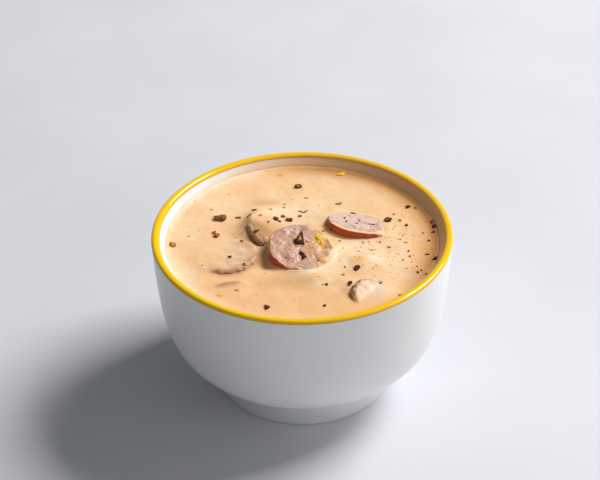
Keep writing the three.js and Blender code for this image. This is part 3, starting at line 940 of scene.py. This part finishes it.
def soup_solid():
    """The soup as points and faces, with the numbers that its finish reads.

    The top is a square grid drawn out to a disc: a cell's ring number over half the cells is its
    share of the radius, and its place along the ring's square is its angle. Rings carried down
    the bowl's inside and in along its floor close the solid from below."""
    half = SOUP_CELLS / 2
    column, row = np.meshgrid(np.arange(SOUP_CELLS + 1) - half, np.arange(SOUP_CELLS + 1) - half)
    ring = np.maximum(np.abs(column), np.abs(row))
    wider = np.abs(column) >= np.abs(row)
    turn = math.pi / 4 * np.where(wider, row, column) / np.maximum(ring, 1)
    radius = SOUP_EDGE * ring / half
    x = radius * np.where(wider, np.sign(column) * np.cos(turn), np.sin(turn))
    y = radius * np.where(wider, np.sin(turn), np.sign(row) * np.cos(turn))
    height, meat_below, skin_below = soup_surface(x, y)
    top = np.stack([x, y, height], axis=-1).reshape(-1, 3)
    index = np.arange(len(top)).reshape(x.shape)
    cells = np.stack([index[:-1, :-1], index[:-1, 1:], index[1:, 1:], index[1:, :-1]],
                     axis=-1).reshape(-1, 4)
    border = np.concatenate([index[0, :-1], index[:-1, -1], index[-1, :0:-1], index[:0:-1, 0]])

    inside = section[:rim_ring][::-1]
    below = inside[inside[:, 1] < SOUP_LEVEL - SOUP_SIDE_START][::2]
    below = np.concatenate([below[:-1], [(3.0, FLOOR_HEIGHT)]])  # 3 mm out, the innermost ring
    angle = np.arctan2(top[border, 1], top[border, 0])
    reach = below[:, :1] + SOUP_OVERLAP
    rings = np.stack([reach * np.cos(angle), reach * np.sin(angle),
                      below[:, 1:] - SOUP_OVERLAP + 0 * angle], axis=-1)
    ring_index = np.concatenate([
        border[None], len(top) + np.arange(rings[..., 0].size).reshape(len(below), -1)])
    walls = np.stack([ring_index[:-1], ring_index[1:], np.roll(ring_index[1:], -1, axis=1),
                      np.roll(ring_index[:-1], -1, axis=1)], axis=-1).reshape(-1, 4)
    points = np.concatenate([top, rings.reshape(-1, 3), [(0, 0, FLOOR_HEIGHT - SOUP_OVERLAP)]])
    last = ring_index[-1]
    fan = np.stack([last, np.full_like(last, len(points) - 1), np.roll(last, -1)], axis=-1)

    numbers = soup_shares(x, y) | {"meat_below": meat_below, "skin_below": skin_below}
    rest = np.zeros(len(points) - len(top))
    numbers = {label: np.concatenate([grid.ravel(), rest]) for label, grid in numbers.items()}
    return points, np.concatenate([cells, walls]), fan, numbers


def soup_finish():
    """Creamy soup that lets light in a little, with painted shade in its brown spots and painted
    highlights, partly froth, in its pale ones. It is tinted by the meat under its thinnest places, and
    along the right-back of the wall by a painted shadow of the rim that is partly orange oil."""
    finish, tree, shader, place = new_finish(
        "cheese_soup", IOR=1.33, Subsurface_Weight=0.6, Subsurface_Scale=0.0022,
        Subsurface_Radius=(1.0, 0.6, 0.3), Roughness=0.42)
    patchy = faded(tree, mottle(tree, place, 3.0, 3.0), 0.3, 0.7)
    colour = use_effect(tree, soup_colour, {"Place": place}).outputs["Color"]
    # label, how much the patches add to it, its least share, and its colour
    for label, patches, least, tint in (
            ("painted_shade", 0.0, 1.0, SOUP_SHADE_BROWN), ("froth", 0.5, 0.6, SOUP_FROTH_AND_HIGHLIGHT),
            ("meat_below", 0.4, 0.45, MEAT_PINK), ("skin_below", 0.4, 0.5, SKIN_SEEN_AND_SHADE),
            ("oil", 0.0, 1.0, OIL_ORANGE), ("wall_oil_and_shadow", 0.0, 1.0, WALL_OIL_AND_SHADOW)):
        share = point_numbers(tree, label)
        if patches:
            share = times(tree, share, summed(tree, times(tree, patchy, patches), least))
        colour = mixed(tree, share, colour, tint)
    tree.links.new(colour, shader.inputs["Base Color"])
    roughen(tree, shader, place, 420.0, 0.00003, 0.35)
    return finish


soup_points, soup_quads, soup_fan, soup_numbers = soup_solid()
make_piece("creamy_soup", soup_points, soup_quads, soup_fan, soup_finish(), "cheese_soup",
           ["soup"], soup_numbers)


# ======================================================================================
# Pepper
# Black pepper, crushed coarse: halves, curled husks and splinters from black to tan, strewn over
# the soup and the slices, where they stick.
# ======================================================================================

# Each flake: the pixel where its middle is seen, its length and width in millimetres, the turn
# of its length (degrees from left-right), how hollow it is, and its tone from black to tan.
PEPPER = {
    "husk_left": (220.5, 219.0, 5.0, 4.0, 10, 0.15, 0.3),
    "row_1": (238.5, 217.9, 2.4, 1.2, 0, 0, 0.34), "row_2": (249.0, 215.8, 2.2, 1.2, 39, 0, 0.2),
    "row_3": (254.5, 210.0, 2.3, 1.3, 30, 0, 0.15), "row_4": (271.0, 209.4, 1.7, 0.8, 5, 0, 0.7),
    "row_5": (260.5, 215.5, 1.7, 1.1, 40, 0, 0.6), "behind_1": (268.7, 221.9, 1.1, 1.1, 0, 0, 0.5),
    "behind_2": (276.2, 219.0, 2.6, 1.8, -25, 0.3, 0.0),
    "behind_3": (279.7, 221.4, 1.4, 1.1, -30, 0, 0.05),
    "behind_4": (283.2, 216.7, 1.9, 1.3, 80, 0.3, 0.1),
    "behind_5": (289.5, 220.3, 2.5, 2.0, -15, 0.5, 0.05),
    "behind_6": (256.5, 231.3, 2.5, 1.4, 55, 0, 0.08),
    "behind_7": (263.0, 245.3, 1.3, 1.2, 0, 0, 0.2), "behind_8": (284.0, 207.5, 1.2, 0.6, 0, 0, 0.55),
    "behind_9": (285.0, 204.3, 1.0, 0.6, 0, 0, 0.65), "hollow": (241.6, 241.2, 1.6, 0.9, 15, 0, 0.25),
    "back": (298.5, 187.0, 2.7, 2.9, 30, 0.45, 0.2), "back_2": (306.5, 198.2, 1.8, 0.7, -5, 0, 0.62),
    "fork_1": (301.3, 211.8, 3.0, 0.55, -33, 0, 0.1), "fork_2": (306.0, 211.4, 1.8, 0.6, 45, 0, 0.1),
    "dash_1": (338.5, 204.0, 2.5, 0.8, -8, 0, 0.33), "dash_2": (340.5, 202.6, 1.2, 0.4, 50, 0, 0.33),
    "husk_1": (298.4, 237.6, 6.6, 1.0, 68, 0, 0.02), "husk_2": (302.5, 238.0, 6.8, 0.9, 97, 0, 0.04),
    "husk_3": (298.6, 241.8, 3.7, 2.5, 2, 0, 0.0), "husk_4": (300.0, 238.6, 4.6, 1.3, 80, 0.3, 0.5),
    "hook_1": (301.8, 253.6, 2.2, 1.5, -30, 0, 0.0), "hook_2": (303.8, 256.8, 2.6, 1.5, -70, 0, 0.0),
    "centre": (323.5, 231.2, 1.3, 0.7, 0, 0, 0.35), "right_1": (353.4, 213.3, 1.9, 0.9, 0, 0, 0.2),
    "right_2": (344.8, 218.0, 0.9, 1.0, 0, 0, 0.25), "right_3": (346.5, 221.3, 1.2, 0.8, 0, 0, 0.55),
    "right_4": (359.2, 221.0, 0.8, 0.8, 0, 0, 0.55), "right_5": (356.5, 223.3, 1.1, 0.7, 0, 0, 0.55),
    "right_6": (372.0, 224.4, 2.6, 0.8, -3, 0, 0.28),
    "peppercorn": (387.8, 220.4, 2.5, 2.8, 0, 0.5, 0.02),
    "far_1": (408.0, 207.0, 2.0, 1.8, -40, 0, 0.0), "far_2": (400.0, 220.6, 1.2, 1.2, 0, 0, 0.52),
    "far_3": (393.8, 214.3, 1.3, 0.9, 0, 0, 0.7), "far_4": (406.4, 225.4, 1.5, 1.3, 25, 0, 0.1),
    "far_5": (423.0, 233.0, 1.0, 0.9, 0, 0, 0.62), "far_6": (429.2, 240.6, 1.4, 0.9, 0, 0, 0.15),
    "wall_1": (433.8, 226.5, 2.0, 1.3, 80, 0.3, 0.0), "wall_2": (433.0, 232.3, 1.6, 1.1, 20, 0, 0.0),
    "wall_3": (435.6, 258.4, 2.4, 1.6, 10, 0, 0.0), "wall_4": (438.4, 256.6, 1.4, 1.0, 40, 0, 0.0),
    "side_1": (406.0, 242.5, 1.7, 0.7, 0, 0, 0.75), "side_2": (400.2, 239.4, 1.0, 0.6, 0, 0, 0.68),
    "side_3": (389.0, 247.3, 1.5, 0.8, 0, 0, 0.5), "side_4": (408.6, 251.2, 0.9, 1.1, 0, 0, 0.2),
    "side_5": (410.0, 256.4, 1.1, 0.9, 0, 0, 0.62), "side_6": (427.4, 254.3, 1.5, 0.9, 0, 0, 0.15),
    "side_7": (403.2, 259.7, 0.9, 1.1, 0, 0, 0.6), "side_8": (417.0, 266.3, 0.9, 0.7, 0, 0, 0.55),
    "side_9": (421.4, 270.4, 1.1, 0.8, -20, 0, 0.5), "side_10": (417.8, 272.4, 1.1, 1.1, 20, 0, 0.1),
    "side_11": (426.3, 274.0, 1.2, 1.0, 0, 0, 0.45),
    "front_middle": (380.6, 283.0, 1.0, 1.0, 0, 0, 0.15),
    "mid_1": (339.8, 240.9, 1.0, 1.3, 0, 0, 0.72), "mid_2": (363.4, 242.8, 0.9, 1.0, 0, 0, 0.7),
    "mid_3": (368.8, 241.9, 0.8, 0.8, 0, 0, 0.7), "mid_4": (380.0, 242.0, 1.2, 0.8, 0, 0, 0.85),
    "mid_5": (371.9, 250.2, 1.1, 0.8, 0, 0, 0.85), "mound_1": (344.8, 266.8, 0.7, 1.0, 0, 0, 0.65),
    "mound_2": (357.0, 268.4, 2.4, 2.2, -20, 0.2, 0.0),
    "mound_3": (343.6, 274.7, 1.1, 1.4, 0, 0, 0.7), "front_1": (326.6, 284.5, 1.4, 1.1, 0, 0, 0.12),
    "front_2": (322.5, 284.5, 0.7, 0.6, 0, 0, 0.6),
    "beside_piece": (349.9, 283.6, 1.9, 2.1, 0, 0.2, 0.0),
    "front_3": (324.6, 305.7, 1.3, 1.2, 0, 0, 0.05),
    "front_4": (267.0, 307.4, 2.3, 2.1, 0, 0.2, 0.04), "left_1": (230.0, 257.0, 1.5, 1.3, 0, 0, 0.1),
    "left_2": (202.3, 265.4, 0.8, 0.8, 0, 0, 0.6),
}
PEPPER_BLACK = (0.060, 0.018, 0.007, 1)
PEPPER_BROWN = (0.27, 0.095, 0.03, 1)
PEPPER_TAN = (0.52, 0.29, 0.12, 1)
FLAKE_THICKNESS, FLAKE_LEAST = 0.22, 0.10  # a share of the smaller side, and millimetres
FLAKE_HOLLOWED = 0.5  # how much thicker a hollow one stands, as such a share
FLAKE_LIFT = 0.28  # of its middle above what it lies on, in thicknesses
FLAKE_TILT = 0.8  # the steepest slope that it follows
SLOPE_REACH = 0.5  # millimetres each way over which that slope is taken


def carrier(x, y):
    """Height of what a flake falls on: the soup, or a slice's face where it stands higher."""
    height = soup_surface(x, y)[0]
    for name in SLICES:
        top, along, across = on_slice(name, x, y)
        face = top + face_relief(name, along, across)
        on_face = face_share(name, along, across) < 0.985
        height = np.where(on_face, np.maximum(height, face), height)
    return height


def flakes(x, y, length, width, turn, hollow, tone, seed, rings=8, around=14, draped=False):
    """Flakes lying on the food as rings of points, and the tone of each point.

    Each is a flattened ball whose outline lies between an ellipse and a corner shape of three to
    five corners. Its top sinks by its hollow towards the middle, its ends curl up a little, and
    it is turned, tipped with the slope of what it lies on and pressed in by a part of its
    thickness. A draped one follows what it lies on point by point instead."""
    draw = np.random.default_rng(seed)
    count = len(x)
    x, y, length, width, turn, hollow, tone = (
        np.asarray(values, float).reshape(-1, 1, 1)
        for values in (x, y, length, width, turn, hollow, tone))
    start, second, third, tip = draw.uniform(0, 2 * math.pi, (4, count, 1, 1))
    corners = draw.integers(3, 6, (count, 1, 1))
    angular = draw.uniform(0.6, 1.0, (count, 1, 1)) * (1 - 0.5 * hollow)
    down = np.linspace(0, math.pi, rings)[:, None]
    angle = np.linspace(0, 2 * math.pi, around, endpoint=False)
    upper = np.cos(down) > 0
    wedge = 2 * math.pi / corners
    corner = np.cos(wedge / 2) / np.cos((angle + start) % wedge - wedge / 2)
    uneven = (0.13 * np.cos(2 * angle + second) + 0.10 * np.cos(3 * angle + third)
              + 0.07 * np.cos(5 * angle + tip))
    edge = (1 + angular * (corner - 1) + uneven) / (1 + angular * (np.cos(wedge / 2) - 1) / 2)
    out = np.sin(down) ** 0.65
    thick = (FLAKE_THICKNESS + FLAKE_HOLLOWED * hollow) * np.minimum(length, width) + FLAKE_LEAST
    across = length / 2 * out * edge * np.cos(angle)
    along = width / 2 * out * edge * np.sin(angle)
    rise = thick * (np.cos(down) * (0.62 + 0.2 * np.cos(angle + tip))
                    - hollow * (1 - out**2) * upper + 0.25 * (2 * across / length) ** 2)
    swing = np.radians(turn)
    offset_x = across * np.cos(swing) - along * np.sin(swing)
    offset_y = across * np.sin(swing) + along * np.cos(swing)
    if draped:
        ground = carrier(x + offset_x, y + offset_y)
    else:
        slope_x, slope_y = (
            np.clip((carrier(x + dx, y + dy) - carrier(x - dx, y - dy)) / (2 * SLOPE_REACH),
                    -FLAKE_TILT, FLAKE_TILT) for dx, dy in ((SLOPE_REACH, 0), (0, SLOPE_REACH)))
        ground = carrier(x, y) + slope_x * offset_x + slope_y * offset_y
    grids = np.stack([x + offset_x, y + offset_y, ground + FLAKE_LIFT * thick + rise], axis=-1)
    shade = tone + 0.10 * np.cos(3 * angle + second) * out + 0.8 * hollow * (1 - out) * upper
    return grids, shade


def pepper_finish():
    """Dry pepper from black over brown to tan, with a rough, finely pitted surface."""
    finish, tree, shader, place = new_finish("crushed_pepper", Roughness=0.7,
                                             Specular_IOR_Level=0.12)
    tone = point_numbers(tree, "tone")
    tone = summed(tree, tone, times(tree, mottle(tree, place, 0.5), 0.16))
    colour = mixed(tree, faded(tree, tone, 0.05, 0.5), PEPPER_BLACK, PEPPER_BROWN)
    tree.links.new(mixed(tree, faded(tree, tone, 0.45, 0.95), colour, PEPPER_TAN),
                   shader.inputs["Base Color"])
    roughen(tree, shader, place, 2600.0, 0.00008, 0.6)
    return finish


def strew(name, table, finish, slot, seed, longer=1.0, wider=1.0, draped=False):
    """One piece of all the flakes in a table of pixels, sizes, turns, hollows and tones. Their
    lengths and widths are multiplied by longer and wider."""
    column, row, length, width, turn, hollow, tone = np.array(list(table.values()), float).T
    x, y = seen_at(column, row, carrier)
    grids, tones = flakes(x, y, length * longer, width * wider, turn, hollow, tone, seed,
                          draped=draped)
    make_piece(name, *closed_rounds(grids), finish, slot, values={"tone": for_each_point(tones)})


strew("crushed_pepper", PEPPER, pepper_finish(), "pepper", 71, 1.12, 1.35)


# ======================================================================================
# Red spice
# Flakes of dried red pepper, moist and dark red to orange, in small groups on the soup.
# ======================================================================================

SPICE = {  # as for the pepper; the tone runs from dark red to orange
    "cluster_1": (214.0, 232.7, 1.7, 1.2, 20, 0, 0.2),
    "cluster_2": (216.6, 235.8, 2.3, 1.7, 15, 0.3, 0.1),
    "cluster_3": (215.0, 236.6, 1.3, 1.2, 0, 0, 0.25), "left": (173.0, 245.0, 1.9, 2.6, 20, 0.2, 0.3),
    "behind": (300.2, 216.3, 1.3, 1.3, 0, 0, 0.25), "front_right": (400.4, 295.3, 1.2, 1.1, 0, 0, 0.4),
    "in_oil": (318.6, 260.6, 1.0, 1.0, 0, 0, 0.1), "wall_1": (432.0, 222.0, 1.4, 1.5, 0, 0, 0.1),
    "wall_2": (437.5, 226.5, 1.3, 1.7, 0, 0, 0.2), "wall_3": (437.0, 262.0, 1.3, 1.3, 0, 0, 0.2),
    "on_left_slice": (244.4, 264.6, 1.5, 1.1, 20, 0, 0.15), "drop": (237.8, 290.0, 1.4, 1.5, 0, 0, 0.85),
    "pale_1": (188.7, 236.5, 1.3, 0.8, 0, 0, 0.95), "pale_2": (211.5, 209.6, 1.1, 0.7, 0, 0, 0.95),
    "on_centre": (307.5, 241.5, 1.4, 0.9, 10, 0, 0.4), "shadow": (416.0, 208.0, 1.2, 1.2, 0, 0, 0.3),
}
SPICE_RED = (0.28, 0.045, 0.014, 1)
SPICE_ORANGE = (0.84, 0.42, 0.12, 1)


def spice_finish():
    """Moist spice from dark red to orange."""
    finish, tree, shader, place = new_finish("red_spice", IOR=1.3, Roughness=0.5)
    tone = summed(tree, point_numbers(tree, "tone"), times(tree, mottle(tree, place, 0.6), 0.2))
    tree.links.new(mixed(tree, faded(tree, tone, 0.1, 1.0), SPICE_RED, SPICE_ORANGE),
                   shader.inputs["Base Color"])
    return finish


red_spice = spice_finish()
strew("red_spice_flakes", SPICE, red_spice, "red_spice", 72, 1.3, 1.5)


# ======================================================================================
# Fine specks
# Ground spice and the finest pepper dust, orange to brown, densest on the right of the soup.
# ======================================================================================

# middle x and y, spread in x and y, and number of the specks in each zone
SPECK_ZONES = [(37, -8, 13, 15, 110), (22, -14, 11, 8, 26), (8, -40, 28, 7, 14),
               (-40, 12, 10, 22, 12), (5, 38, 30, 9, 16)]
SPECK_MARGIN = 1.5  # kept free along the wall
SPECK_LEAST, SPECK_MOST = 0.4, 0.95  # length
speck_draw = np.random.default_rng(79)
speck_x, speck_y = np.concatenate([
    np.array([[x], [y]]) + speck_draw.normal(0, 1, (2, number)) * np.array([[wide], [deep]])
    for x, y, wide, deep, number in SPECK_ZONES], axis=1)
on_soup = np.hypot(speck_x, speck_y) < WALL_RADIUS - SPECK_MARGIN
for node in SLICES:
    _, along, across = on_slice(node, speck_x, speck_y)
    on_soup &= face_share(node, along, across) > 1.1
speck_x, speck_y = speck_x[on_soup], speck_y[on_soup]
speck_count = len(speck_x)
speck_length = speck_draw.uniform(SPECK_LEAST, SPECK_MOST, speck_count)
speck_width = speck_length * speck_draw.uniform(0.6, 1.0, speck_count)
speck_turn = speck_draw.uniform(0, 180, speck_count)
speck_tone = speck_draw.uniform(0.7, 1.5, speck_count)
speck_grids, speck_tones = flakes(speck_x, speck_y, speck_length, speck_width, speck_turn,
                                  np.zeros(speck_count), speck_tone, 74, rings=5, around=6)
make_piece("fine_specks", *closed_rounds(speck_grids), red_spice, "red_spice",
           values={"tone": for_each_point(speck_tones)})


# ======================================================================================
# Oil drops
# Clear yellow-orange oil that floats on the soup and lies on the middle slice in flat drops.
# ======================================================================================

# as for the pepper; less than no hollow makes a low dome, and the tone runs from yellow to orange
OIL_DROPS = {
    "back": (341.0, 174.3, 4.0, 2.6, 5, -0.2, 0.35),
    "slice_1": (318.8, 237.6, 2.2, 2.8, 0, -0.2, 0.05),
    "slice_2": (321.8, 242.4, 1.6, 2.6, 10, -0.2, 0.15),
    "back_left": (280.6, 175.2, 1.6, 1.0, 0, -0.2, 0.7),
    "front_left": (219.2, 295.6, 2.0, 1.2, -20, -0.2, 0.6),
}


def oil_finish():
    """Glossy oil, yellow to orange, that lets the light in."""
    finish, tree, shader, _ = new_finish("yellow_oil", IOR=1.47, Roughness=0.08,
                                         Subsurface_Weight=0.5, Subsurface_Scale=0.001,
                                         Subsurface_Radius=(1.0, 0.7, 0.2))
    tree.links.new(mixed(tree, point_numbers(tree, "tone"), OIL_YELLOW, OIL_ORANGE),
                   shader.inputs["Base Color"])
    return finish


strew("oil_drops", OIL_DROPS, oil_finish(), "orange_oil", 75, draped=True)


# ======================================================================================
# Floor and light
# A pale level floor, one large soft lamp behind the bowl's right side, a weaker and wider one
# before its right side, and a faint soft light from all round.
# ======================================================================================

FLOOR_SIZE = 6.0  # metres, as are the lamps' sizes and distances
FLOOR_GREY = (0.66, 0.67, 0.715, 1)
FLOOR_PALE = (0.70, 0.71, 0.75, 1)
KEY_LAMP = dict(azimuth=29, elevation=45, distance=2.6, size=(1.25, 1.0), power=87.0,
                tint=(1.0, 0.99, 0.98))
FILL_LAMP = dict(azimuth=-34, elevation=20, distance=2.0, size=(2.6, 2.0), power=11.5,
                 tint=(0.97, 0.98, 1.0))
SKY_TINT = (0.92, 0.96, 1.0, 1)
SKY_STRENGTH = 0.145


def floor_finish():
    """Pale cool plaster, faintly clouded."""
    finish, tree, shader, place = new_finish("pale_floor", Roughness=0.6)
    clouds = faded(tree, mottle(tree, place, 90.0, 5.0), 0.3, 0.75)
    tree.links.new(mixed(tree, clouds, FLOOR_GREY, FLOOR_PALE), shader.inputs["Base Color"])
    return finish


floor_mesh = bpy.data.meshes.new("floor")
corner = FLOOR_SIZE / 2
floor_mesh.from_pydata([(-corner, -corner, 0), (corner, -corner, 0), (corner, corner, 0),
                        (-corner, corner, 0)], [], [(0, 1, 2, 3)])
floor_mesh.materials.append(floor_finish())
floor = bpy.data.objects.new("floor", floor_mesh)
bpy.context.scene.collection.objects.link(floor)


def hang_lamp(name, azimuth, elevation, distance, size, power, tint):
    """A rectangular soft lamp that faces the soup from a direction given in degrees."""
    data = bpy.data.lights.new(name, "AREA")
    data.shape = "RECTANGLE"
    data.size, data.size_y = size
    data.energy = power
    data.color = tint
    lamp = bpy.data.objects.new(name, data)
    azimuth, elevation = math.radians(azimuth), math.radians(elevation)
    way = Vector((math.cos(azimuth) * math.cos(elevation), math.sin(azimuth) * math.cos(elevation),
                  math.sin(elevation)))
    lamp.location = way * distance + Vector((0, 0, SOUP_LEVEL * MM))
    lamp.rotation_euler = way.to_track_quat("Z", "Y").to_euler()
    bpy.context.scene.collection.objects.link(lamp)


hang_lamp("softbox", **KEY_LAMP)
hang_lamp("reflector", **FILL_LAMP)

world = bpy.data.worlds.new("soft_surround")
world.use_nodes = True
sky = world.node_tree.nodes["Background"]
sky.inputs["Color"].default_value = SKY_TINT
sky.inputs["Strength"].default_value = SKY_STRENGTH
bpy.context.scene.world = world
bpy.context.scene.view_settings.view_transform = "Standard"

bpy.context.view_layer.update()
